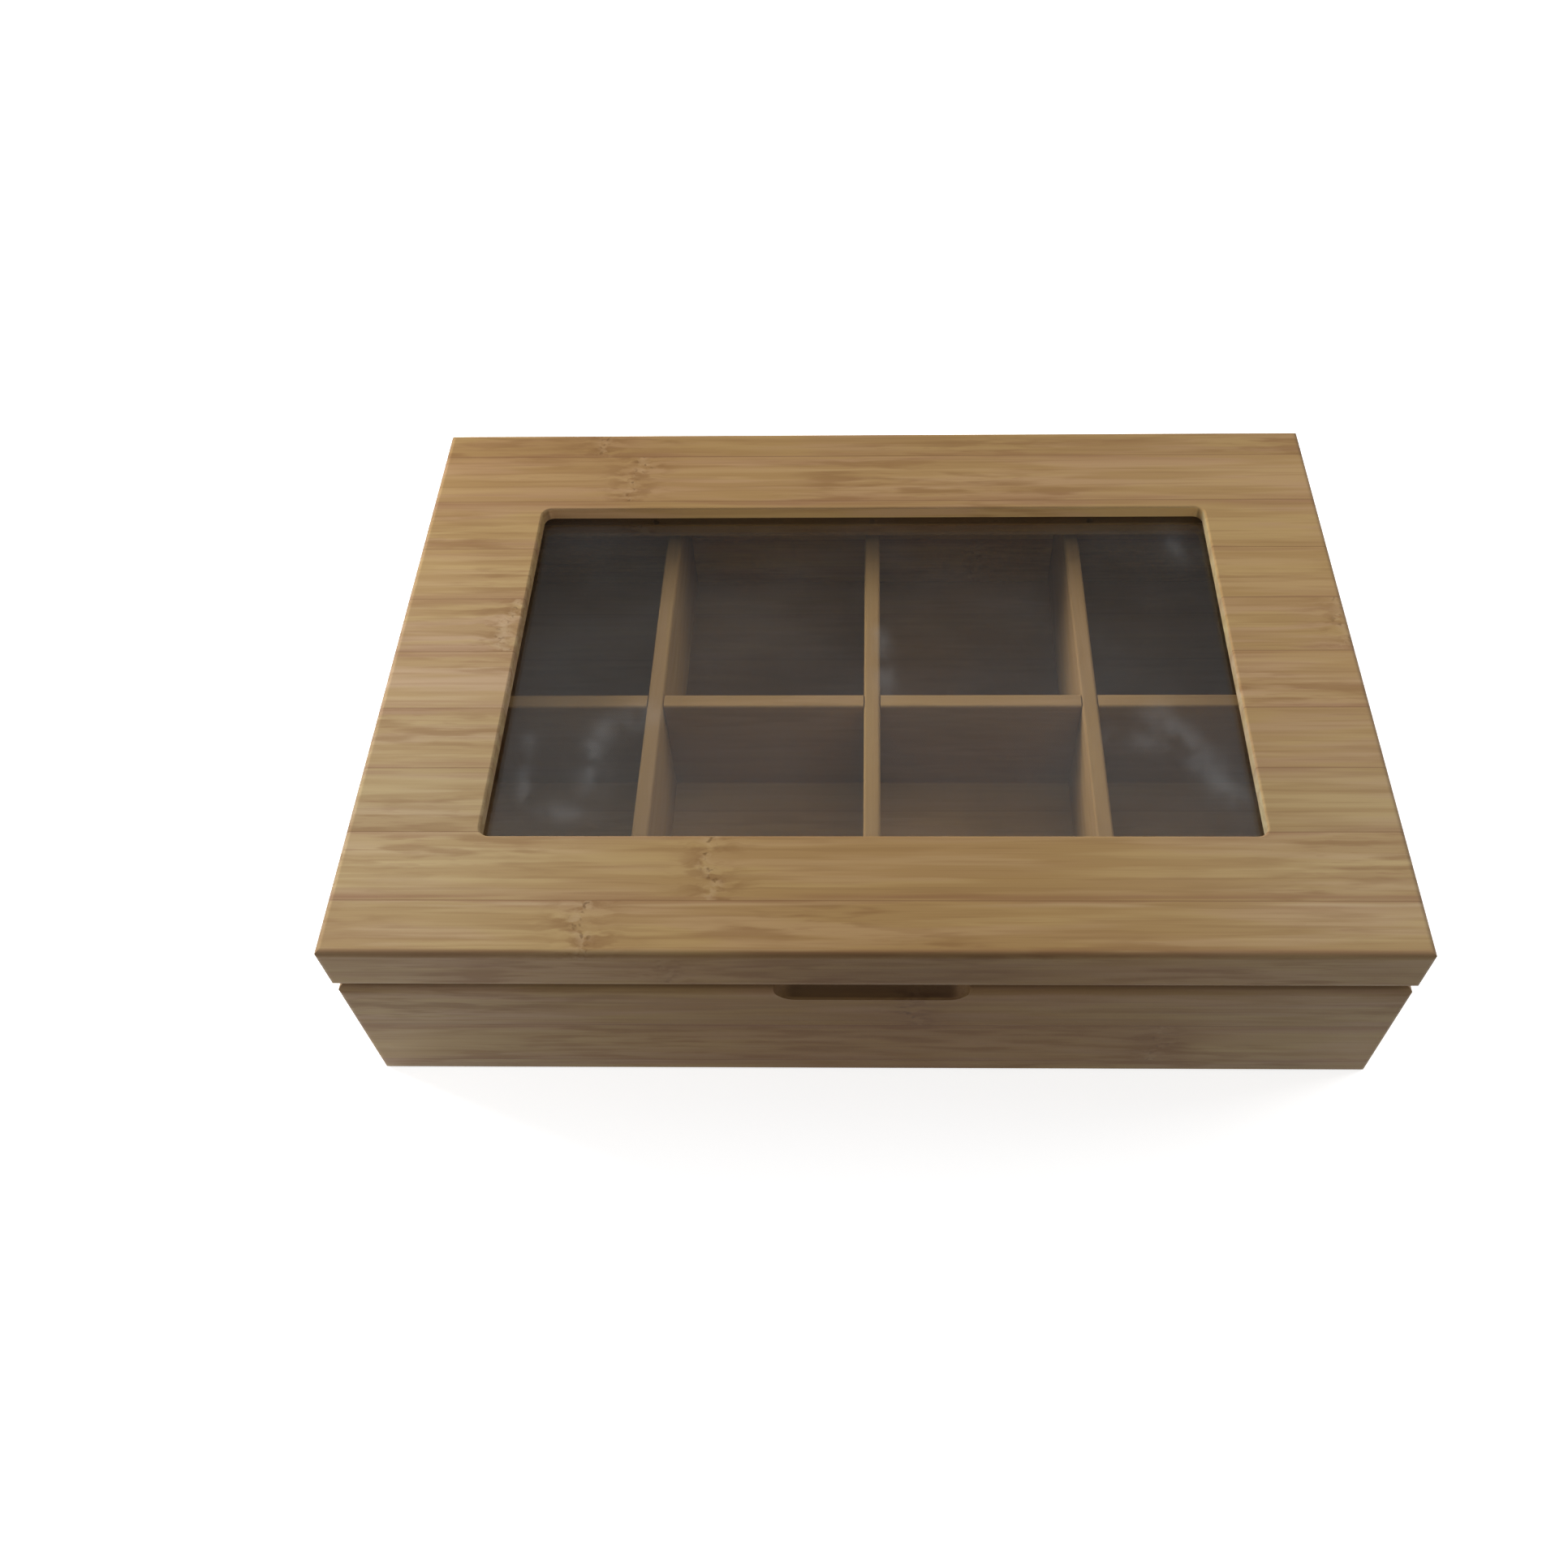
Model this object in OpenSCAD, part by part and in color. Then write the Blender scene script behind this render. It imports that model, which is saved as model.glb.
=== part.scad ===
// Tea bag organizer box: a bamboo box with a glazed lid, eight compartments and two rear butt hinges.
// The origin is on the table under the middle of the box. +X is right, -Y is the front, +Z is up.
// All lengths are in millimetres and all angles in degrees.

/* [Overall size] */
// Width of the lid, left to right
lid_w = 290; // [260:1:320]
// Depth of the lid, front to back
lid_d = 205; // [185:1:240]
// Thickness of the lid board
lid_t = 18; // [15:0.5:22]
// Height of the box below the lid
body_h = 49.6; // [40:0.2:90]
// How far the lid stands out past the box on each side
lid_overhang = 0.3; // [0.2:0.1:1.5]
// Open line between the closed lid and the box
seam_gap = 0.4; // [0.2:0.1:0.8]

/* [Eased edges] */
// Rounding of the lid's top edges
top_round = 1.8; // [0.5:0.1:2.5]
// Rounding of the edges on both sides of the seam
seam_round = 3.5; // [1:0.1:4.5]
// Rounding of the box's lowest edges
foot_round = 1.5; // [0.5:0.1:2.5]
// Rounding of the upright corners of lid and box
corner_round = 1.5; // [1:0.1:6]
// Rounding of the window's top edge
window_edge_round = 0.7; // [0.3:0.1:1.5]
// Rounding of the dividers' top edges
divider_round = 0.8; // [0.2:0.1:1.4]

/* [Box walls and bottom] */
// Thickness of the four walls
wall_t = 12; // [10:0.5:14]
// Thickness of the bottom panel
panel_t = 4; // [3:0.5:6]
// Height of the bottom panel's underside above the table
panel_lift = 3; // [2:0.5:5]
// How far the bottom panel reaches into the walls
panel_tongue = 5; // [3:0.5:6]

/* [Dividers] */
// Thickness of every divider
divider_t = 5; // [3:0.5:6]
// How far the divider tops lie below the wall tops
divider_drop = 3; // [1:0.2:8]
// Depth of the wall grooves that hold the divider ends
divider_groove = 2; // [1:0.5:3]

/* [Window] */
// Width of the window opening
window_w = 216; // [180:1:230]
// Depth of the window opening, front to back
window_d = 130; // [100:1:140]
// Rounding of the window's corners
window_round = 3; // [2:0.5:10]
// Depth of the pane's face below the lid's top
pane_drop = 4.2; // [3:0.1:6.5]
// Thickness of the pane
pane_t = 2.5; // [2:0.5:4]
// Width of the ledge that the pane's edge lies against
ledge_w = 5; // [4:0.5:7]
// Width of the beads under the pane
bead_w = 3; // [2:0.5:3.5]
// Height of the beads under the pane
bead_h = 4.5; // [3:0.5:5]
// Bevel along each bead's lower inner edge
bead_bevel = 1.2; // [0.5:0.1:1.5]

/* [Finger scoop] */
// Width of the scoop in the front wall's face
scoop_w = 53.6; // [40:0.2:80]
// Height of the scoop in the front wall's face
scoop_h = 6.2; // [6:0.2:11]
// Depth of the scoop into the front wall
scoop_depth = 5.4; // [4.6:0.2:6]

/* [Hinges] */
// Distance of each hinge's middle from the end of the box
hinge_inset = 54.5; // [38:0.5:58]
// Length of each hinge
hinge_len = 24; // [18:1:28]
// Distance of the pin's axis from the back face of the box
pin_inset = 4; // [3.6:0.1:5]
// Diameter of the pin
pin_d = 2; // [1.4:0.1:2.2]
// Outer diameter of the knuckles
knuckle_d = 4; // [3.6:0.1:4.4]
// Thickness of the leaves
leaf_t = 1; // [0.8:0.1:1.2]
// Distance of the leaves' front edges from the wall's inner face
leaf_setback = 0.4; // [0.2:0.1:0.8]
// Length of the middle knuckle
middle_knuckle_len = 8; // [6:0.5:10]
// Angle at which the two rear bevels meet and stop the lid
stop_angle = 95; // [90:1:105]

/* [Screws and brads] */
// Diameter of the hinge screws
screw_d = 1.8; // [1.4:0.1:2]
// Diameter of the hinge screws' heads
screw_head_d = 3.4; // [2.8:0.1:3.8]
// Length of the hinge screws
screw_len = 9; // [7:0.5:11]
// Distance between the two screws of one leaf
screw_pitch = 15; // [12:0.5:16]
// Length of each arm of the cross recess in the screw heads, end to end
recess_w = 1.9; // [1.4:0.1:2.2]
// Width of the arms of the cross recess
recess_t = 0.5; // [0.3:0.1:0.7]
// Depth of the cross recess
recess_depth = 0.6; // [0.4:0.1:0.8]
// Diameter of the brads that hold the beads
brad_d = 1.2; // [1:0.1:1.4]
// Length of the brads
brad_len = 12; // [10:0.5:16]

/* [Fits] */
// Clearance of loose wood fits, on each side
wood_gap = 0.15; // [0.1:0.05:0.3]
// Radial clearance of the pin in its knuckles
pin_gap = 0.03; // [0.02:0.01:0.08]
// Radial clearance of screws and brads in their holes
fastener_gap = 0.04; // [0.02:0.01:0.08]
// Clearance between a knuckle and the metal or wood that passes it
knuckle_gap = 0.3; // [0.2:0.05:0.5]

/* [Hidden] */
$fn = 64;

// How far a cutting shape reaches past the face that it cuts
over = 1;
bamboo_light = [0.62, 0.48, 0.33];
bamboo_side = [0.44, 0.36, 0.27];
bamboo_inner = [0.55, 0.45, 0.34];
clear_pane = [0.80, 0.86, 0.84, 0.35];
brass = [0.72, 0.58, 0.32];
steel = [0.62, 0.60, 0.57];

body_w = lid_w - 2 * lid_overhang;
body_d = lid_d - 2 * lid_overhang;
inner_w = body_w - 2 * wall_t;
inner_d = body_d - 2 * wall_t;
floor_z = panel_lift + panel_t;
lid_z = body_h + seam_gap;
top_z = lid_z + lid_t;

divider_top = body_h - divider_drop;
divider_mid = (floor_z + divider_top) / 2;
column_pitch = (inner_w + divider_t) / 4;
groove_w = divider_t + 2 * wood_gap;

pane_top = top_z - pane_drop;
pane_bottom = pane_top - pane_t;
rebate_w = window_w + 2 * ledge_w;
rebate_d = window_d + 2 * ledge_w;
bead_z = pane_bottom - bead_h;
brad_z = pane_bottom - bead_h / 2;
brad_head_d = 1.6 * brad_d;
brad_head_t = 0.5;

scoop_out = (scoop_h * scoop_h - scoop_depth * scoop_depth) / (2 * scoop_depth);
scoop_r = scoop_depth + scoop_out;
scoop_straight = scoop_w - 2 * scoop_h;

pin_y = body_d / 2 - pin_inset;
pin_z = body_h + seam_gap / 2;
bevel_angle = stop_angle / 2;
bevel_gap = 0.15;
bore_r = pin_d / 2 + pin_gap;
hinge_offset = body_w / 2 - hinge_inset;
leaf_front = inner_d / 2 + leaf_setback;
leaf_rear = pin_y - knuckle_d / 2 - knuckle_gap;
leaf_root = pin_y - (bore_r + knuckle_d / 2) / 2;
screw_y = (leaf_front + leaf_rear) / 2;
screw_cone_t = (screw_head_d - screw_d) / 2;
outer_knuckle_len = (hinge_len - middle_knuckle_len) / 2 - knuckle_gap;
barrel_room_r = knuckle_d / 2 + knuckle_gap;

// ---- Outlines and blocks with eased edges ----

// What has to go from a square corner to round it; the corner is at the origin, the material at -x, -y
module corner_waste(r) {
  difference() {
    translate([-r, -r]) square(r + over);
    translate([-r, -r]) circle(r);
  }
}

// Rectangle centred on the origin with all its corners rounded
module round_rect(w, d, r) {
  difference() {
    square([w, d], center = true);
    for (a = [0, 1], b = [0, 1])
      mirror([a, 0]) mirror([0, b]) translate([w / 2, d / 2]) corner_waste(r);
  }
}

// End view of a board that stands on the x axis, its top corners rounded by rt and its lower ones by rb
module board_profile(w, h, rt, rb) {
  difference() {
    translate([-w / 2, 0]) square([w, h]);
    for (side = [0, 1]) {
      mirror([side, 0]) translate([w / 2, h]) corner_waste(rt);
      mirror([side, 0]) translate([w / 2, 0]) mirror([0, 1]) corner_waste(rb);
    }
  }
}

// Extrudes an end view along X, centred; the view's x becomes Y and its y becomes Z
module along_x(length) {
  rotate([90, 0, 90]) linear_extrude(length, center = true) children();
}

// Extrudes an end view along Y, centred; the view's x stays X and its y becomes Z
module along_y(length) {
  rotate([90, 0, 0]) linear_extrude(length, center = true) children();
}

// Block on z = 0 with rounded upright corners and rounded top and lower edges
module eased_block(w, d, h, rt, rb, rv) {
  intersection() {
    translate([0, 0, -over]) linear_extrude(h + 2 * over) round_rect(w, d, rv);
    along_x(w + 2 * over) board_profile(d, h, rt, rb);
    along_y(d + 2 * over) board_profile(w, h, rt, rb);
  }
}

// ---- Hinge places ----

// Puts its children at the left or right hinge: the middle of the pin's axis
module at_hinge(side) {
  translate([side * hinge_offset, pin_y, pin_z]) children();
}

// Both screw places of a leaf, on the line of its screws at pin height
module at_leaf_screws(side) {
  for (end = [-0.5, 0.5])
    translate([side * hinge_offset + end * screw_pitch, screw_y, pin_z]) children();
}

// Wedge of space behind the pin that lets the lid swing; up = 1 cuts the lid, up = -1 the box
module rear_bevel(up) {
  reach = 4 * pin_inset;
  translate([0, pin_y, pin_z]) mirror([0, 0, up > 0 ? 0 : 1]) rotate([bevel_angle, 0, 0])
    translate([-lid_w, 0, bevel_gap - reach]) cube([2 * lid_w, reach, reach]);
}

// Round room for a hinge's barrel, in lid and box
module barrel_room(side) {
  at_hinge(side) rotate([0, 90, 0]) cylinder(h = hinge_len + 2 * knuckle_gap, r = barrel_room_r, center = true);
}

// Recess for one leaf; up = 1 is in the lid's underside, up = -1 in the wall's top
module leaf_mortise(side, up) {
  depth = seam_gap / 2 + leaf_t;
  x0 = side * hinge_offset - hinge_len / 2 - wood_gap;
  translate([x0, leaf_front - wood_gap, up > 0 ? pin_z : pin_z - depth])
    cube([hinge_len + 2 * wood_gap, pin_y - leaf_front + wood_gap, depth]);
}

// Screw pointing up or down from the seam, grown all over by gap; up = 1 points up
module hinge_screw(up, gap) {
  mirror([0, 0, up > 0 ? 0 : 1]) translate([0, 0, seam_gap / 2]) {
    cylinder(h = screw_cone_t, r1 = screw_head_d / 2 + gap, r2 = screw_d / 2 + gap);
    cylinder(h = screw_len + gap, r = screw_d / 2 + gap);
  }
}

// ---- The box ----

// All four walls as one ring, which the mitres then divide
module wall_ring() {
  difference() {
    eased_block(body_w, body_d, body_h, seam_round, foot_round, corner_round);
    translate([-inner_w / 2, -inner_d / 2, -over]) cube([inner_w, inner_d, body_h + 2 * over]);
    panel_groove();
    for (column = [-1, 0, 1])
      translate([column * column_pitch - groove_w / 2, -inner_d / 2 - divider_groove, floor_z])
        cube([groove_w, inner_d + 2 * divider_groove, body_h]);
    translate([-inner_w / 2 - divider_groove, -groove_w / 2, floor_z])
      cube([inner_w + 2 * divider_groove, groove_w, body_h]);
  }
}

// Groove round the walls for the bottom panel
module panel_groove() {
  w = inner_w + 2 * (panel_tongue + wood_gap);
  d = inner_d + 2 * (panel_tongue + wood_gap);
  translate([-w / 2, -d / 2, panel_lift]) cube([w, d, panel_t + wood_gap]);
}

// Space of the front wall up to its two mitres; turned or with other sizes it is any wall's
module mitre_space(w, d) {
  translate([0, 0, -over]) linear_extrude(body_h + 2 * over)
    polygon([
      [-w / 2 - over, -d / 2 - over],
      [w / 2 + over, -d / 2 - over],
      [w / 2 - wall_t - over, -d / 2 + wall_t + over],
      [-w / 2 + wall_t + over, -d / 2 + wall_t + over]
    ]);
}

module front_wall() {
  color(bamboo_side) difference() {
    intersection() {
      wall_ring();
      mitre_space(body_w, body_d);
    }
    finger_scoop();
  }
}

// Shallow hollow in the front wall's face and top, a round bar with ball ends
module finger_scoop() {
  translate([0, -body_d / 2 - scoop_out, body_h]) {
    rotate([0, 90, 0]) cylinder(h = scoop_straight, r = scoop_r, center = true);
    for (end = [-0.5, 0.5])
      translate([end * scoop_straight, 0, 0]) sphere(scoop_r);
  }
}

module back_wall() {
  color(bamboo_side) difference() {
    intersection() {
      wall_ring();
      rotate([0, 0, 180]) mitre_space(body_w, body_d);
    }
    rear_bevel(-1);
    for (side = [-1, 1]) {
      barrel_room(side);
      leaf_mortise(side, -1);
      at_leaf_screws(side) hinge_screw(-1, fastener_gap);
    }
  }
}

module left_wall() {
  color(bamboo_side) side_wall(-90);
}

module right_wall() {
  color(bamboo_side) side_wall(90);
}

module side_wall(turn) {
  difference() {
    intersection() {
      wall_ring();
      rotate([0, 0, turn]) mitre_space(body_d, body_w);
    }
    rear_bevel(-1);
  }
}

module bottom_panel() {
  w = inner_w + 2 * panel_tongue;
  d = inner_d + 2 * panel_tongue;
  color(bamboo_inner) translate([-w / 2, -d / 2, panel_lift]) cube([w, d, panel_t]);
}

// ---- Dividers ----

// End view of a divider, standing on the floor, its top edges eased
module divider_profile() {
  h = divider_top - floor_z;
  difference() {
    translate([-divider_t / 2, 0]) square([divider_t, h]);
    for (side = [0, 1])
      mirror([side, 0]) translate([divider_t / 2, h]) corner_waste(divider_round);
  }
}

// Front-to-back divider in the middle of the box, halved from below over the long divider
module cross_divider(column) {
  length = inner_d + 2 * (divider_groove - wood_gap);
  color(bamboo_inner) translate([column * column_pitch, 0, 0]) difference() {
    translate([0, 0, floor_z]) along_y(length) divider_profile();
    translate([-divider_t, -groove_w / 2, floor_z - over])
      cube([2 * divider_t, groove_w, divider_mid - floor_z + over + wood_gap]);
  }
}

module cross_divider_left() {
  cross_divider(-1);
}

module cross_divider_middle() {
  cross_divider(0);
}

module cross_divider_right() {
  cross_divider(1);
}

// Left-to-right divider, halved from above for the three cross dividers
module long_divider() {
  length = inner_w + 2 * (divider_groove - wood_gap);
  color(bamboo_inner) difference() {
    translate([0, 0, floor_z]) along_x(length) divider_profile();
    for (column = [-1, 0, 1])
      translate([column * column_pitch - groove_w / 2, -divider_t, divider_mid])
        cube([groove_w, 2 * divider_t, divider_top]);
  }
}

// ---- Hinges ----

// Knuckles and pin lie along X; x is the knuckle's middle
module knuckle(x, length) {
  translate([x, 0, 0]) rotate([0, 90, 0]) cylinder(h = length, r = knuckle_d / 2, center = true);
}

module pin_bore() {
  rotate([0, 90, 0]) cylinder(h = hinge_len + 2 * over, r = bore_r, center = true);
}

// Flat part of a leaf that reaches back to y_rear; x is its middle
module leaf_plate(x, length, y_rear) {
  translate([x - length / 2, leaf_front - pin_y, seam_gap / 2]) cube([length, y_rear - leaf_front, leaf_t]);
}

// Lid's leaf, with the one middle knuckle
module upper_leaf(side) {
  color(brass) difference() {
    at_hinge(side) difference() {
      union() {
        leaf_plate(0, hinge_len, leaf_rear);
        leaf_plate(0, middle_knuckle_len, leaf_root);
        knuckle(0, middle_knuckle_len);
      }
      pin_bore();
    }
    at_leaf_screws(side) hinge_screw(1, fastener_gap);
  }
}

// Box's leaf, with the two outer knuckles
module lower_leaf(side) {
  knuckle_x = (hinge_len - outer_knuckle_len) / 2;
  color(brass) difference() {
    at_hinge(side) difference() {
      union() {
        mirror([0, 0, 1]) leaf_plate(0, hinge_len, leaf_rear);
        for (end = [-1, 1]) {
          mirror([0, 0, 1]) leaf_plate(end * knuckle_x, outer_knuckle_len, leaf_root);
          knuckle(end * knuckle_x, outer_knuckle_len);
        }
      }
      pin_bore();
    }
    at_leaf_screws(side) hinge_screw(-1, fastener_gap);
  }
}

module hinge_pin(side) {
  color(steel) at_hinge(side) rotate([0, 90, 0]) cylinder(h = hinge_len, r = pin_d / 2, center = true);
}

module lower_leaf_left() {
  lower_leaf(-1);
}

module lower_leaf_right() {
  lower_leaf(1);
}

module upper_leaf_left() {
  upper_leaf(-1);
}

module upper_leaf_right() {
  upper_leaf(1);
}

module hinge_pin_left() {
  hinge_pin(-1);
}

module hinge_pin_right() {
  hinge_pin(1);
}

// Cross recess in the face of a screw's head
module cross_recess(up) {
  mirror([0, 0, up > 0 ? 0 : 1]) translate([0, 0, seam_gap / 2 + recess_depth / 2 - over / 2])
    for (turn = [0, 90])
      rotate([0, 0, turn]) cube([recess_w, recess_t, recess_depth + over], center = true);
}

// All four screws of one body's leaves
module hinge_screws(up) {
  color(brass) for (side = [-1, 1])
    at_leaf_screws(side) difference() {
      hinge_screw(up, 0);
      cross_recess(up);
    }
}

module lower_hinge_screws() {
  hinge_screws(-1);
}

module upper_hinge_screws() {
  hinge_screws(1);
}

// ---- The lid ----

module lid_board() {
  color(bamboo_light) difference() {
    translate([0, 0, lid_z]) eased_block(lid_w, lid_d, lid_t, top_round, seam_round, corner_round);
    translate([0, 0, lid_z]) linear_extrude(lid_t + over) round_rect(window_w, window_d, window_round);
    window_edge_waste();
    translate([-rebate_w / 2, -rebate_d / 2, lid_z - over])
      cube([rebate_w, rebate_d, pane_top - lid_z + over]);
    rear_bevel(1);
    for (side = [-1, 1]) {
      barrel_room(side);
      leaf_mortise(side, 1);
      at_leaf_screws(side) hinge_screw(1, fastener_gap);
    }
    brads(fastener_gap);
  }
}

// What has to go to round the window's top edge: four straight runs and four quarter turns
module window_edge_waste() {
  r = window_edge_round;
  straight_w = window_w - 2 * window_round;
  straight_d = window_d - 2 * window_round;
  translate([0, 0, top_z]) {
    for (side = [0, 1]) {
      mirror([0, side, 0]) translate([0, window_d / 2, 0]) along_x(straight_w) mirror([1, 0]) corner_waste(r);
      mirror([side, 0, 0]) translate([window_w / 2, 0, 0]) along_y(straight_d) mirror([1, 0]) corner_waste(r);
    }
    for (a = [0, 1], b = [0, 1])
      mirror([a, 0, 0]) mirror([0, b, 0]) translate([straight_w / 2, straight_d / 2, 0])
        rotate_extrude(angle = 90) translate([window_round, 0]) mirror([1, 0]) corner_waste(r);
  }
}

module window_pane() {
  w = rebate_w - 2 * wood_gap;
  d = rebate_d - 2 * wood_gap;
  color(clear_pane) translate([-w / 2, -d / 2, pane_bottom]) cube([w, d, pane_t]);
}

// End view of a bead against the rebate wall at x = 0, reaching to -bead_w, from its foot up
module bead_profile() {
  polygon([
    [0, 0],
    [0, bead_h],
    [-bead_w, bead_h],
    [-bead_w, bead_bevel],
    [-bead_w + bead_bevel, 0]
  ]);
}

// All four beads as one ring, which the mitres then divide
module bead_space(w, d) {
  translate([0, 0, bead_z]) linear_extrude(bead_h)
    polygon([
      [-w / 2, -d / 2],
      [w / 2, -d / 2],
      [w / 2 - bead_w, -d / 2 + bead_w],
      [-w / 2 + bead_w, -d / 2 + bead_w]
    ]);
}

// One bead of the pair that lies along X, at the front; w and d are the ring's outer size
module bead(w, d) {
  intersection() {
    translate([0, -d / 2, bead_z]) mirror([0, 1, 0]) along_x(w) bead_profile();
    bead_space(w, d);
  }
}

module bead_front() {
  color(bamboo_inner) difference() {
    bead(rebate_w - wood_gap, rebate_d - wood_gap);
    brads(fastener_gap);
  }
}

module bead_back() {
  color(bamboo_inner) difference() {
    mirror([0, 1, 0]) bead(rebate_w - wood_gap, rebate_d - wood_gap);
    brads(fastener_gap);
  }
}

module bead_left() {
  color(bamboo_inner) difference() {
    rotate([0, 0, -90]) bead(rebate_d - wood_gap, rebate_w - wood_gap);
    brads(fastener_gap);
  }
}

module bead_right() {
  color(bamboo_inner) difference() {
    rotate([0, 0, 90]) bead(rebate_d - wood_gap, rebate_w - wood_gap);
    brads(fastener_gap);
  }
}

// One brad that points along +Y from its head's face, grown all over by gap
module brad(gap) {
  rotate([-90, 0, 0]) {
    translate([0, 0, -gap]) cylinder(h = brad_head_t + gap, r = brad_head_d / 2 + gap);
    cylinder(h = brad_len + gap, r = brad_d / 2 + gap);
  }
}

// All the brads: three through each long bead and two through each short one
module brads(gap) {
  reach = ledge_w - wood_gap / 2 - bead_w;
  for (turn = [0, 180]) rotate([0, 0, turn]) {
    for (step = [-1, 0, 1])
      translate([step * window_w / 3, window_d / 2 + reach, brad_z]) brad(gap);
    for (step = [-1, 1])
      rotate([0, 0, 90]) translate([step * window_d / 4, window_w / 2 + reach, brad_z]) brad(gap);
  }
}

module bead_brads() {
  color(steel) brads(0);
}

front_wall();
back_wall();
left_wall();
right_wall();
bottom_panel();
long_divider();
cross_divider_left();
cross_divider_middle();
cross_divider_right();
lower_leaf_left();
lower_leaf_right();
hinge_pin_left();
hinge_pin_right();
lower_hinge_screws();
lid_board();
window_pane();
bead_front();
bead_back();
bead_left();
bead_right();
bead_brads();
upper_leaf_left();
upper_leaf_right();
upper_hinge_screws();
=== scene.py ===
# %% [markdown]
# # A bamboo tea box with a glazed lid
#
# The real object is a low box for paper tea sachets: four mitred bamboo walls, a bottom panel, four
# interlocking dividers, and a lid with a clear window that turns on two small brass butt hinges.
# The joinery and every measure come from the imported model, so the frame is loaded first and none of
# it is moved. This script adds what the workshop adds last: the figure of the bamboo, the oil finish,
# the clear pane with its smudges, and the brushed metal of the hinges. Some of the light and shade on
# the bamboo is painted into its colour as well.

import math

import bpy
from mathutils import Matrix, Vector


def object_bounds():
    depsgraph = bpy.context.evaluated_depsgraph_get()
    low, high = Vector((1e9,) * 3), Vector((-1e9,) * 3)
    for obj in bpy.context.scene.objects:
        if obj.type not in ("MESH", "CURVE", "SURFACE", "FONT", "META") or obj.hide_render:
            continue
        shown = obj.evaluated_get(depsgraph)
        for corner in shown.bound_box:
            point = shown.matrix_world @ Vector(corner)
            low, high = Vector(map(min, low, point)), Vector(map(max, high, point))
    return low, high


MM = 0.001

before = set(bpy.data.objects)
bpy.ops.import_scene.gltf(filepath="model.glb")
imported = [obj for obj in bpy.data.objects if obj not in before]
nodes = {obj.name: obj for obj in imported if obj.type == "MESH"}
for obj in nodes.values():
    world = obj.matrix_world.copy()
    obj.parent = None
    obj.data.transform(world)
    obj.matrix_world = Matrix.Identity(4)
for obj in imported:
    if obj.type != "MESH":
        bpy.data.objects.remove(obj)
cad_low, cad_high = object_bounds()
bpy.ops.object.select_all(action="DESELECT")
print("pieces in the frame:", len(nodes))
print("box of the frame in mm:", [round(v / MM, 1) for v in cad_high - cad_low])

# %% [markdown]
# ## The camera
#
# The box is seen from in front and well above, as someone standing at a table sees it. A camera can be
# aimed with a Track To constraint, but a constraint hides the real angles. Here the pitch, yaw and roll
# are written as degrees and turned into one matrix, so each can be read and changed by itself.

# %% Place the camera
CAMERA_PLACE = Vector((0.7, -284.4, 387.2)) * MM
PITCH_DOWN = math.radians(53.41)
YAW_LEFT = math.radians(1.74)
ROLL = math.radians(-1.41)
FOCAL_LENGTH = 32.58
SENSOR_WIDTH = 36.0
SHIFT_X = -0.0412

camera_data = bpy.data.cameras.new("camera")
camera_data.lens = FOCAL_LENGTH
camera_data.sensor_width = SENSOR_WIDTH
camera_data.shift_x = SHIFT_X
camera = bpy.data.objects.new("camera", camera_data)
bpy.context.scene.collection.objects.link(camera)
level_turn = Matrix.Rotation(YAW_LEFT, 4, "Z")
tilt = Matrix.Rotation(math.pi / 2 - PITCH_DOWN, 4, "X")
lean = Matrix.Rotation(ROLL, 4, "Z")
camera.matrix_world = Matrix.Translation(CAMERA_PLACE) @ level_turn @ tilt @ lean
bpy.context.scene.camera = camera
print("camera height in mm:", round(camera.location.z / MM))

# %% [markdown]
# ## Small helpers for shader nodes
#
# A finish is a graph of nodes. Typing every node, socket and link by hand buries the idea, so a few
# short helpers place a node, feed its inputs with numbers or with other nodes' outputs, and hand back
# the output. Colours are written as the 0 to 255 values of a paint program and made linear here.

# %% Define the node helpers
def colour(red, green, blue):
    """A colour given as paint-program values, made linear for the shader."""
    def linear(value):
        share = value / 255
        return share / 12.92 if share <= 0.04045 else ((share + 0.055) / 1.055) ** 2.4
    return (linear(red), linear(green), linear(blue), 1.0)


def feed(tree, socket, value):
    """Links an output to the socket, or sets the socket to a plain value."""
    if isinstance(value, bpy.types.NodeSocket):
        tree.links.new(value, socket)
    else:
        socket.default_value = value


def put(tree, kind, inputs=None, **settings):
    """Adds one node, sets its options, and feeds its inputs by name or number."""
    node = tree.nodes.new("ShaderNode" + kind)
    node.location.x = 180 * len(tree.nodes)
    for name, value in settings.items():
        setattr(node, name, value)
    for name, value in (inputs or {}).items():
        feed(tree, node.inputs[name], value)
    return node


def maths(tree, operation, a, b=0.0, clamp=False):
    """One sum, product or other operation on two values."""
    return put(tree, "Math", {0: a, 1: b}, operation=operation, use_clamp=clamp).outputs[0]


def soft_step(tree, value, start, end):
    """0 before start, 1 after end, and a smooth slope between; start may be the larger."""
    if start > end:
        return maths(tree, "SUBTRACT", 1.0, soft_step(tree, value, end, start))
    inputs = {"Value": value, "From Min": start, "From Max": end}
    return put(tree, "MapRange", inputs, interpolation_type="SMOOTHSTEP").outputs[0]


def scaled(tree, vector, x, y, z):
    """The vector with each part multiplied by its own number; 0 drops that part."""
    return put(tree, "VectorMath", {0: vector, 1: (x, y, z)}, operation="MULTIPLY").outputs[0]


def noise(tree, vector, detail=2.0):
    """Cloudy values about 0.5 that change over one unit of the vector."""
    return put(tree, "TexNoise", {"Vector": vector, "Scale": 1.0, "Detail": detail}).outputs["Fac"]


def mixed(tree, factor, a, b, blend="MIX"):
    """Colour a turned into b by the factor, by plain mixing or another blend."""
    node = put(tree, "Mix", {0: factor, 6: a, 7: b}, data_type="RGBA", blend_type=blend)
    return node.outputs[2]


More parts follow.
